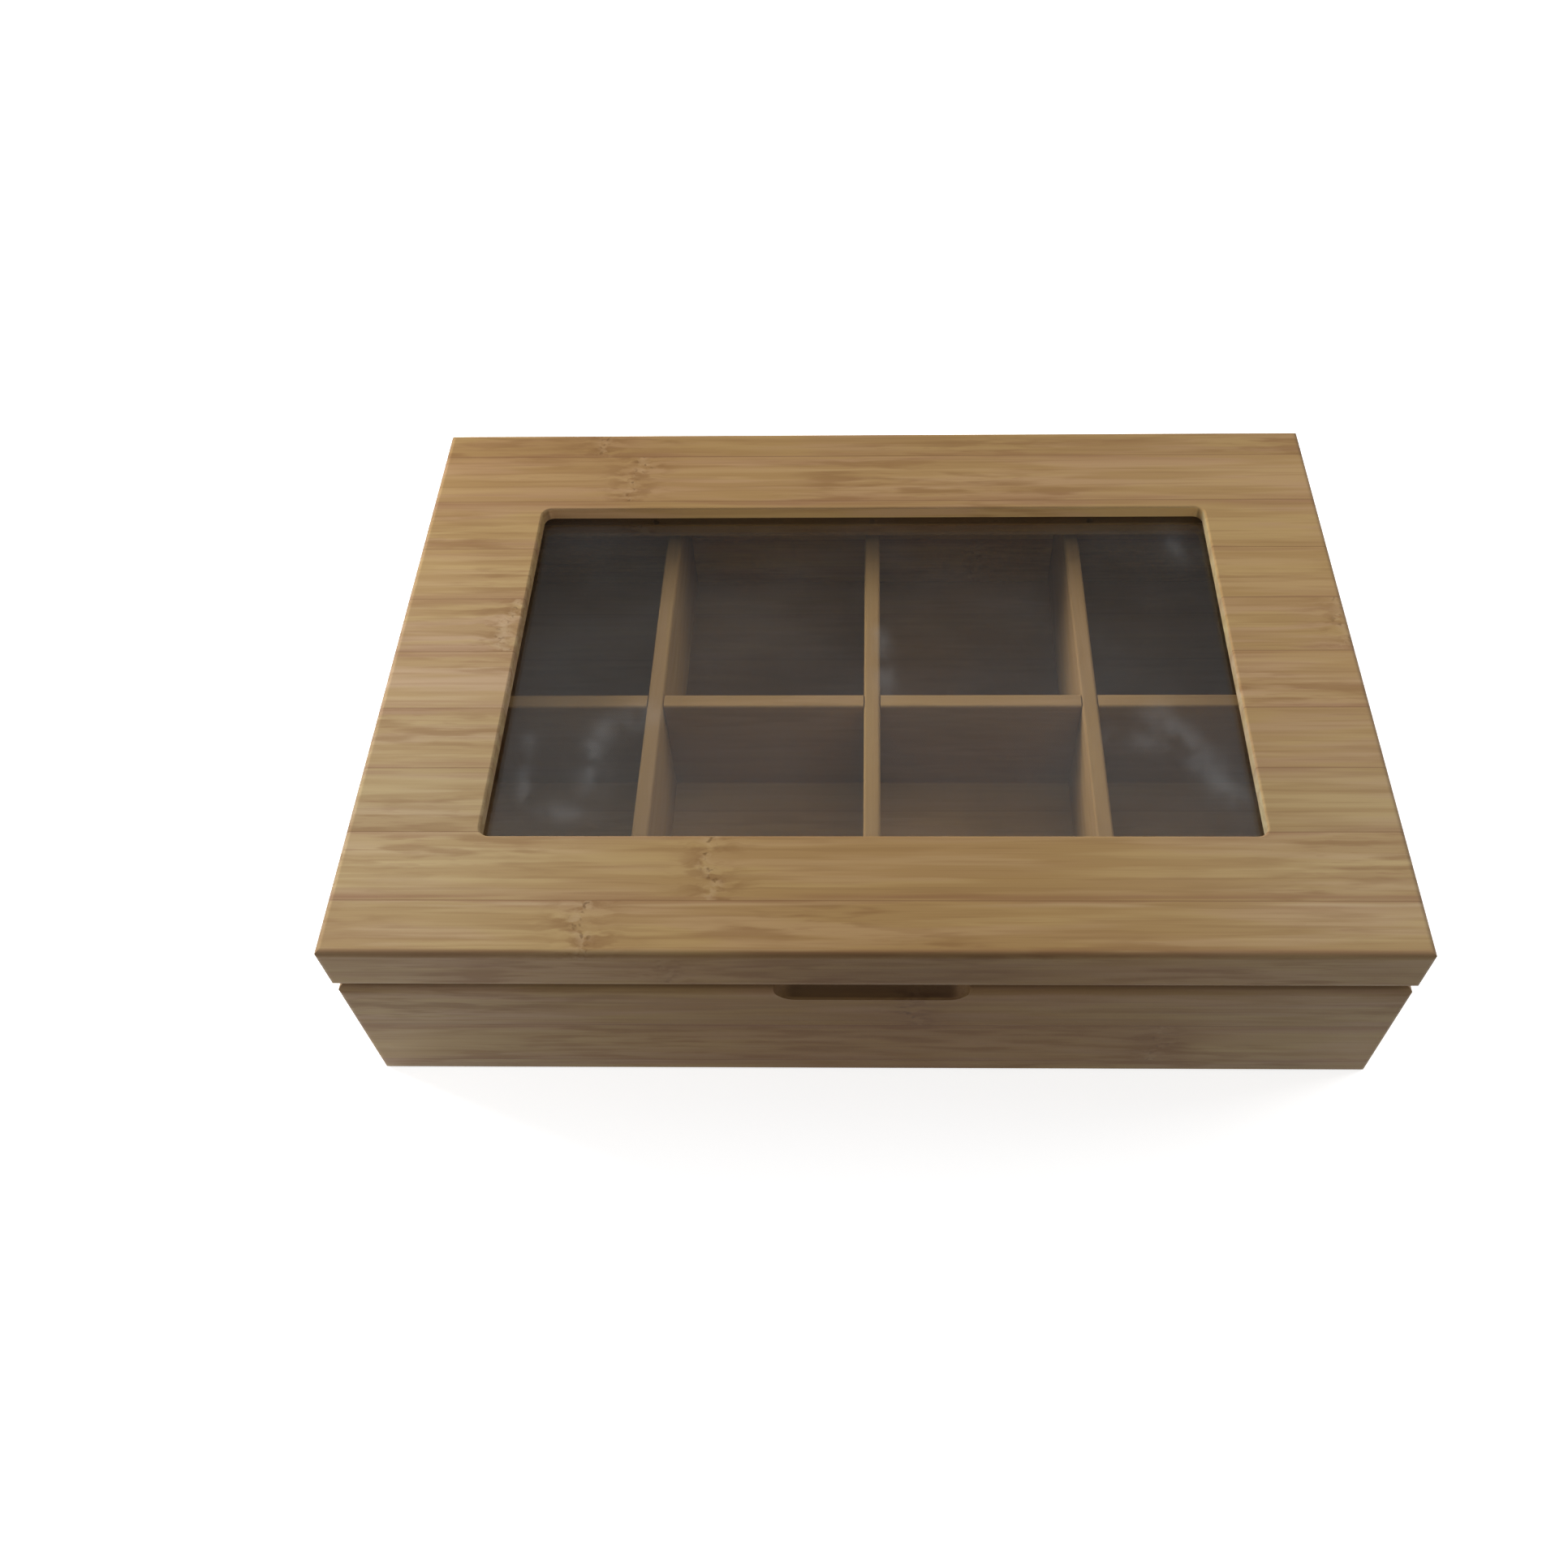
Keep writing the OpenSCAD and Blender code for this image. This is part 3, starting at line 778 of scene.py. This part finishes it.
# %% Find the walls' light and dark places
WALL_LINE = 28.5 * MM
WALL_LINES = [(27.4, 0.9, "red", 0.55), (12.0, 1.2, "brown", 0.35), (41.0, 0.9, "brown", 0.30)]
WALL_TOP = 49.6 * MM
WALL_FACE = 102.2 * MM
INNER_X = 132.7 * MM
INNER_Y = 90.2 * MM
SCOOP_HALF_W = 26.8 * MM
SCOOP_BOTTOM = 43.4 * MM


def joint_shade(tree):
    """The walls' upper edge, next to the lid, where the lid's shade is painted in."""
    return soft_step(tree, place_parts(tree)[2], WALL_TOP - 2.3 * MM, WALL_TOP - 0.6 * MM)


def scoop_shade(tree):
    """The hollow of the finger scoop, which lies behind the front wall's face and is painted in shade."""
    place = place_parts(tree)
    behind_face = soft_step(tree, place[1], -WALL_FACE + 0.2 * MM, -WALL_FACE + 1.0 * MM)
    near_top = soft_step(tree, place[2], SCOOP_BOTTOM - 0.6 * MM, SCOOP_BOTTOM - 0.2 * MM)
    from_middle = maths(tree, "ABSOLUTE", place[0])
    between_ends = soft_step(tree, from_middle, SCOOP_HALF_W - 1.2 * MM, SCOOP_HALF_W - 5.8 * MM)
    return times(tree, behind_face, near_top, between_ends)


def inner_face(tree):
    """The faces of the walls inside the box."""
    place = place_parts(tree)
    across = soft_step(tree, maths(tree, "ABSOLUTE", place[0]), INNER_X + 0.5 * MM, INNER_X + 0.2 * MM)
    deep = soft_step(tree, maths(tree, "ABSOLUTE", place[1]), INNER_Y + 0.5 * MM, INNER_Y + 0.2 * MM)
    return times(tree, across, deep)


def upper_part(tree):
    """The walls' outer faces, more and more from near the foot up to near the seam, for painted shade."""
    outside = maths(tree, "SUBTRACT", 1.0, inner_face(tree))
    return times(tree, soft_step(tree, place_parts(tree)[2], 8 * MM, 40 * MM), outside)


# Painted shade under the lid's edge, growing upwards on the outer faces.
WALL_PAINTED_SHADE = [(joint_shade, 0.42), (upper_part, 0.24)]
# Painted light on the inner faces.
INSIDE_PAINTED_LIGHT = [(inner_face, 0.35)]
print("walls are", round(WALL_TOP / MM, 1), "mm high")

# %% Finish the walls
FRONT_KNUCKLES = [(0, 11.5, 0.8), (-1, 82, 0.7)]
FRONT_TINTS = [(-1, "tan", 0.5)]
# Painted shade in the finger scoop.
FRONT_PAINTED_SHADE = WALL_PAINTED_SHADE + [(scoop_shade, 0.66)]
# The pale spots at both ends of the front are a painted sheen, and the broad darker spot in its middle is
# painted shade.
FRONT_MARKS = [
    (spot((-120, -102, 6), 50), "painted_sheen", 0.90),
    (spot((125, -102, 6), 52), "painted_sheen", 0.90),
    (spot((10, -102, 42), 70), "tan", 0.80),
    (spot((14, -102, 35), 11), "tan", 0.70),
    (spot((82, -102, 19), 11), "tan", 0.90),
]
OTHER_WALLS = [
    ("back", "X", 17.0, [(0, -64, 0.8), (-1, 38, 0.8)]),
    ("left", "Y", 23.0, [(0, 41, 0.8)]),
    ("right", "Y", 29.0, [(-1, -22, 0.8)]),
]
front_bamboo = bamboo("bamboo front wall", "X", "Z", WALL_LINE, 11.0, OILED, knuckles=FRONT_KNUCKLES,
                      tints=FRONT_TINTS, lines=WALL_LINES, marks=FRONT_MARKS, painted_shade=FRONT_PAINTED_SHADE,
                      painted_light=INSIDE_PAINTED_LIGHT)
finish_node("front_wall", front_bamboo)
for side, grain, seed, knuckles in OTHER_WALLS:
    wall_bamboo = bamboo("bamboo " + side + " wall", grain, "Z", WALL_LINE, seed, OILED,
                         knuckles=knuckles, lines=WALL_LINES, painted_shade=WALL_PAINTED_SHADE, painted_light=INSIDE_PAINTED_LIGHT)
    finish_node(side + "_wall", wall_bamboo)
print("walls with their finish:", 1 + len(OTHER_WALLS))

# %% [markdown]
# ## Inside the box
#
# The dividers and the bottom are thinner stock, sanded and hardly oiled, so their tones lie closer
# together. They get a palette of their own and plainer lists. The bottom is painted lighter overall and
# painted darker in the back row, as painted light and shade, and the beads, which lie in the shade under
# the window's ledge, have that shade painted in and are darkest of all.

# %% Finish the dividers, the bottom and the beads
SANDED = {
    "straw": colour(158, 122, 78),
    "rose": colour(157, 121, 82),
    "tan": colour(152, 116, 75),
    "brown": colour(146, 111, 69),
    "red": colour(147, 109, 71),
    "pale": colour(163, 129, 90),
    "speck": colour(110, 83, 52),
    "glue": colour(132, 99, 62),
}
DIVIDER_LINE = 11 * MM
BOTTOM_LINE = 8 * MM
NO_LINE_NEAR = 100 * MM
# The beads' brightness is lowered as painted shade.
BEAD_SHADE_LEVEL = 0.4


def back_row(tree):
    """The bottom of the compartments behind the long divider."""
    depth = place_parts(tree)[1]
    off_back_wall = soft_step(tree, depth, 95 * MM, 35 * MM)
    behind_divider = soft_step(tree, depth, -1 * MM, 1 * MM)
    return times(tree, off_back_wall, behind_divider)


cross_bamboo = bamboo("bamboo cross dividers", "Y", "X", DIVIDER_LINE, 37.0, SANDED)
for side in ("left", "middle", "right"):
    finish_node("cross_divider_" + side, cross_bamboo)
long_bamboo = bamboo("bamboo long divider", "X", "Y", DIVIDER_LINE, 41.0, SANDED, level=1.04)
finish_node("long_divider", long_bamboo)
# The bottom is painted lighter, and painted shade darkens its back row.
bottom_bamboo = bamboo("bamboo bottom", "X", "Y", BOTTOM_LINE, 47.0, SANDED, level=1.15,
                       knuckles=[(1, 30, 0.4), (-2, -90, 0.4)], painted_shade=[(back_row, 0.74)])
finish_node("bottom_panel", bottom_bamboo)
long_bead_bamboo = bamboo("bamboo long beads", "X", "Z", NO_LINE_NEAR, 53.0, SANDED, level=BEAD_SHADE_LEVEL)
short_bead_bamboo = bamboo("bamboo short beads", "Y", "Z", NO_LINE_NEAR, 59.0, SANDED, level=BEAD_SHADE_LEVEL)
for side in ("front", "back"):
    finish_node("bead_" + side, long_bead_bamboo)
for side in ("left", "right"):
    finish_node("bead_" + side, short_bead_bamboo)
print("the inside has its finish")

# %% [markdown]
# ## Smudges
#
# Fingers and a damp cloth leave soft pale strokes on a clear sheet. Cloudy noise alone puts them just
# anywhere, so each stroke is drawn instead: the distance from a short straight line, turned into a bell
# and broken up a little by noise. A bent smudge is two or three strokes end to end.

# %% Build the smudge group
def build_smudge():
    tree, given, out = new_group(
        "smudge stroke",
        {"Place": "Vector", "From": "Vector", "To": "Vector", "Width": "Float"},
        {"Mask": "Float"},
    )
    stroke = put(tree, "VectorMath", {0: given["To"], 1: given["From"]}, operation="SUBTRACT").outputs[0]
    arm = put(tree, "VectorMath", {0: given["Place"], 1: given["From"]}, operation="SUBTRACT").outputs[0]
    covered = put(tree, "VectorMath", {0: arm, 1: stroke}, operation="DOT_PRODUCT").outputs["Value"]
    whole = put(tree, "VectorMath", {0: stroke, 1: stroke}, operation="DOT_PRODUCT").outputs["Value"]
    share = maths(tree, "DIVIDE", covered, whole, clamp=True)
    reach = put(tree, "VectorMath", {0: stroke, "Scale": share}, operation="SCALE").outputs[0]
    off = put(tree, "VectorMath", {0: arm, 1: reach}, operation="SUBTRACT").outputs[0]
    distance = put(tree, "VectorMath", {0: off}, operation="LENGTH").outputs["Value"]
    broken = soft_step(tree, noise(tree, scaled(tree, given["Place"], 120, 100, 0), 4.0), 0.30, 0.68)
    feed(tree, out.inputs["Mask"], times(tree, bell(tree, distance, given["Width"]), broken))
    return tree


smudge_group = build_smudge()
print("group:", smudge_group.name)

# %% [markdown]
# ## The pane
#
# The window is a clear sheet, 2.5 mm thick. Glass in a path tracer blocks the lamps' light, so what is
# under it turns black; a Light Path node lets shadow rays pass, as thin clear sheet does in a room.
# A wiped sheet is never quite clean: its smudges scatter a little light, so a trace of matt grey is
# mixed in where the strokes are, and a far thinner film of it over the whole sheet.

# %% Define the pane material
SMUDGE_HAZE = 0.040
FILM_HAZE = 0.006
CLEAR_TINT = (0.93, 0.96, 0.95, 1.0)
SHADOW_TINT = (0.90, 0.92, 0.91, 1.0)
DUST_GREY = (0.74, 0.77, 0.81, 1.0)
SMUDGES = [
    ((-101.0, -28.5), (-98.8, -48.4), 2.6, 0.9),
    ((-95.5, -53.4), (-80.0, -54.6), 3.4, 0.6),
    ((-79.5, -45.0), (-81.5, -31.0), 4.0, 0.8),
    ((-78.0, -24.5), (-66.0, -17.0), 4.4, 0.7),
    ((84.0, -19.5), (104.0, -49.0), 5.6, 0.8),
    ((70.5, -26.0), (86.0, -31.0), 3.6, 0.5),
    ((97.5, 54.0), (101.5, 49.0), 4.6, 0.6),
    ((2.5, 14.5), (4.5, -9.0), 3.0, 0.7),
]


def clear_sheet():
    """The clear sheet, with the strokes of SMUDGES: from and to in mm, half width in mm, strength."""
    material, tree, output = new_material("clear pane")
    place = object_place(tree)
    smudge = 0.0
    for start, end, width, strength in SMUDGES:
        mask = use_group(tree, smudge_group, {
            "Place": scaled(tree, place, 1, 1, 0), "From": Vector((*start, 0.0)) * MM,
            "To": Vector((*end, 0.0)) * MM, "Width": width * MM,
        })["Mask"]
        smudge = maths(tree, "MAXIMUM", times(tree, mask, strength), smudge)
    film = soft_step(tree, noise(tree, scaled(tree, place, 24, 30, 0), 3.0), 0.30, 0.75)
    haze = maths(tree, "ADD", times(tree, smudge, SMUDGE_HAZE), times(tree, film, FILM_HAZE))
    sheet = put(tree, "BsdfPrincipled", {
        "Base Color": CLEAR_TINT, "Roughness": 0.0, "IOR": 1.45, "Transmission Weight": 1.0,
    })
    dust = put(tree, "BsdfDiffuse", {"Color": DUST_GREY})
    dusty = put(tree, "MixShader", {0: haze, 1: sheet.outputs[0], 2: dust.outputs[0]})
    open_way = put(tree, "BsdfTransparent", {"Color": SHADOW_TINT})
    for_lamps = put(tree, "LightPath").outputs["Is Shadow Ray"]
    final = put(tree, "MixShader", {0: for_lamps, 1: dusty.outputs[0], 2: open_way.outputs[0]})
    feed(tree, output.inputs["Surface"], final.outputs[0])
    return material


finish_node("window_pane", clear_sheet())
print("smudges on the pane:", len(SMUDGES))

# %% [markdown]
# ## The metal
#
# The hinges are stamped brass, brushed along their length and dulled by handling. The pins are drawn
# steel wire, and the brads a darker one. All are one brushed-metal group with other colours: fine lines
# along X for the brushing, and a cloudy mask for the dulled places.

# %% Build the brushed metal group
def build_brushed():
    tree, given, out = new_group(
        "brushed metal", {"Place": "Vector", "Dullness": "Float"}, {"Lines": "Float", "Dull": "Float"})
    feed(tree, out.inputs["Lines"], noise(tree, scaled(tree, given["Place"], 300, 9000, 9000), 2.0))
    clouds = soft_step(tree, noise(tree, scaled(tree, given["Place"], 420, 420, 420), 3.0), 0.42, 0.66)
    feed(tree, out.inputs["Dull"], maths(tree, "MULTIPLY", clouds, given["Dullness"]))
    return tree


brushed_group = build_brushed()
print("group:", brushed_group.name)

# %% Finish the hinges, the pins, the screws and the brads
METAL_POLISH = 0.22
LINE_ROUGHNESS = 0.18
DULL_ROUGHNESS = 0.25
BRUSH_RELIEF = 0.02 * MM


def metal(name, bright, tarnish, dullness):
    """A brushed metal between two colours: bright, and tarnish where it is dull."""
    material, tree, output = new_material(name)
    brushed = use_group(tree, brushed_group, {"Place": object_place(tree), "Dullness": dullness})
    rough = maths(tree, "ADD", times(tree, brushed["Lines"], LINE_ROUGHNESS), METAL_POLISH)
    rough = maths(tree, "ADD", rough, times(tree, brushed["Dull"], DULL_ROUGHNESS))
    bump = put(tree, "Bump", {"Strength": 0.25, "Distance": BRUSH_RELIEF, "Height": brushed["Lines"]})
    surface = put(tree, "BsdfPrincipled", {
        "Base Color": mixed(tree, brushed["Dull"], bright, tarnish), "Roughness": rough,
        "Metallic": 1.0, "Normal": bump.outputs[0],
    })
    feed(tree, output.inputs["Surface"], surface.outputs[0])
    return material


brass = metal("brushed brass", colour(222, 190, 122), colour(150, 116, 66), 0.6)
steel = metal("drawn steel", colour(196, 194, 190), colour(120, 116, 110), 0.5)
dark_steel = metal("darkened steel", colour(96, 84, 70), colour(60, 50, 40), 0.6)
for side in ("left", "right"):
    finish_node("lower_leaf_" + side, brass)
    finish_node("upper_leaf_" + side, brass)
    finish_node("hinge_pin_" + side, steel)
finish_node("lower_hinge_screws", brass)
finish_node("upper_hinge_screws", brass)
finish_node("bead_brads", dark_steel)
print("metals:", ", ".join(m.name for m in (brass, steel, dark_steel)))

# %% [markdown]
# ## The floor
#
# The box stands on a plain white floor. A floor that white would also throw a lot of light back up and
# wash out the sides of the box, so diffuse rays meet a greyer one, while the camera, glass and metal see
# the white. The white is part paint and part glow, so the box's shadow still falls on it.

# %% Lay the floor
FLOOR_SIZE = 12.0
FLOOR_GREY = (0.56, 0.56, 0.56, 1.0)
FLOOR_PALE = (0.80, 0.80, 0.80, 1.0)
FLOOR_GLOW = 0.70
WHITE = (1.0, 1.0, 1.0, 1.0)


def seen_rays(tree):
    """1 for rays that show a thing to the camera, straight or by way of metal or glass; else 0."""
    path = put(tree, "LightPath").outputs
    seen = maths(tree, "ADD", path["Is Camera Ray"], path["Is Glossy Ray"])
    return maths(tree, "ADD", seen, path["Is Transmission Ray"], clamp=True)


def floor_white():
    """White for the camera, greyer for the light that the floor throws back."""
    material, tree, output = new_material("floor white")
    plain = put(tree, "BsdfDiffuse", {"Color": FLOOR_GREY})
    pale = put(tree, "BsdfDiffuse", {"Color": FLOOR_PALE})
    glow = put(tree, "Emission", {"Color": WHITE, "Strength": FLOOR_GLOW})
    white = put(tree, "AddShader", {0: pale.outputs[0], 1: glow.outputs[0]})
    final = put(tree, "MixShader", {0: seen_rays(tree), 1: plain.outputs[0], 2: white.outputs[0]})
    feed(tree, output.inputs["Surface"], final.outputs[0])
    return material


bpy.ops.mesh.primitive_plane_add(size=FLOOR_SIZE, location=(0, 0, cad_low.z))
floor = bpy.context.object
floor.name = "floor"
floor.data.materials.append(floor_white())
print("floor at height", round(cad_low.z / MM, 1), "mm")

# %% [markdown]
# ## The lamps
#
# A large soft lamp low at the left and behind gives the light its direction, a weaker one at the right
# opens the shadows, and a faint cool one lifts the front. Mirror and glass rays don't see the lamps:
# they would stand on the pane as hard white blocks, and their light already reaches the inside of the
# box through the pane's open way for shadow rays, so the same light would count twice.

# %% Hang the lamps
LAMPS = [
    ("left lamp", (-0.628, 0.32, 0.257), 0.45, 11.0, (1.0, 1.0, 1.0)),
    ("right lamp", (0.42, 0.10, 0.32), 0.30, 1.1, (1.0, 1.0, 1.0)),
    ("front lamp", (-0.42, -0.25, 0.12), 0.20, 0.25, (0.96, 1.0, 1.05)),
]


def soft_lamp(name, place, size, power, tint):
    """A square lamp that looks at the origin; place and size in metres, power in watts."""
    data = bpy.data.lights.new(name, "AREA")
    data.shape = "SQUARE"
    data.size = size
    data.energy = power
    data.color = tint
    lamp = bpy.data.objects.new(name, data)
    bpy.context.scene.collection.objects.link(lamp)
    lamp.location = place
    lamp.rotation_euler = (-Vector(place)).to_track_quat("-Z", "Y").to_euler()
    lamp.visible_camera = False
    lamp.visible_glossy = False
    lamp.visible_transmission = False


for lamp_values in LAMPS:
    soft_lamp(*lamp_values)
print("lamps:", len(LAMPS))

# %% [markdown]
# ## The air
#
# The world gives a plain even light, and shows a simple room to the camera, glass and metal. Its horizon
# is white to the camera and grey to mirror rays. Higher up is a dim ceiling that grows paler overhead and
# to both sides, as in a room with light walls. The pane mirrors the dim part to a viewer in front, so
# the compartments below it stay clear to see.

# %% Fill the air
AIR_LIGHT = 0.38
HORIZON_GREY = (0.42, 0.42, 0.42, 1.0)
CEILING_DIM = (0.05, 0.05, 0.05, 1.0)
CEILING_PALE = (0.98, 1.0, 1.0, 1.0)
CEILING_RISE = (0.45, 0.64)
OVERHEAD_RISE = (0.645, 0.81)


def studio_air():
    """An even light, with a room for glass and metal to mirror."""
    world = bpy.data.worlds.new("studio air")
    world.use_nodes = True
    bpy.context.scene.world = world
    tree = world.node_tree
    tree.nodes.clear()
    way = put(tree, "SeparateXYZ", {0: put(tree, "TexCoord").outputs["Generated"]}).outputs
    overhead = soft_step(tree, way[2], *OVERHEAD_RISE)
    paleness = maths(tree, "ADD", overhead, maths(tree, "ABSOLUTE", way[0]))
    above = mixed(tree, maths(tree, "MULTIPLY", paleness, 0.5), CEILING_DIM, CEILING_PALE)
    mirrored = put(tree, "LightPath").outputs["Is Glossy Ray"]
    horizon = mixed(tree, mirrored, WHITE, HORIZON_GREY)
    seen_colour = mixed(tree, soft_step(tree, way[2], *CEILING_RISE), horizon, above)
    shown = put(tree, "Background", {"Color": seen_colour, "Strength": 1.0})
    ambient = put(tree, "Background", {"Color": WHITE, "Strength": AIR_LIGHT})
    final = put(tree, "MixShader", {0: seen_rays(tree), 1: ambient.outputs[0], 2: shown.outputs[0]})
    feed(tree, put(tree, "OutputWorld").inputs["Surface"], final.outputs[0])
    return world


air = studio_air()
bpy.context.scene.view_settings.view_transform = "Standard"
print("world:", air.name)
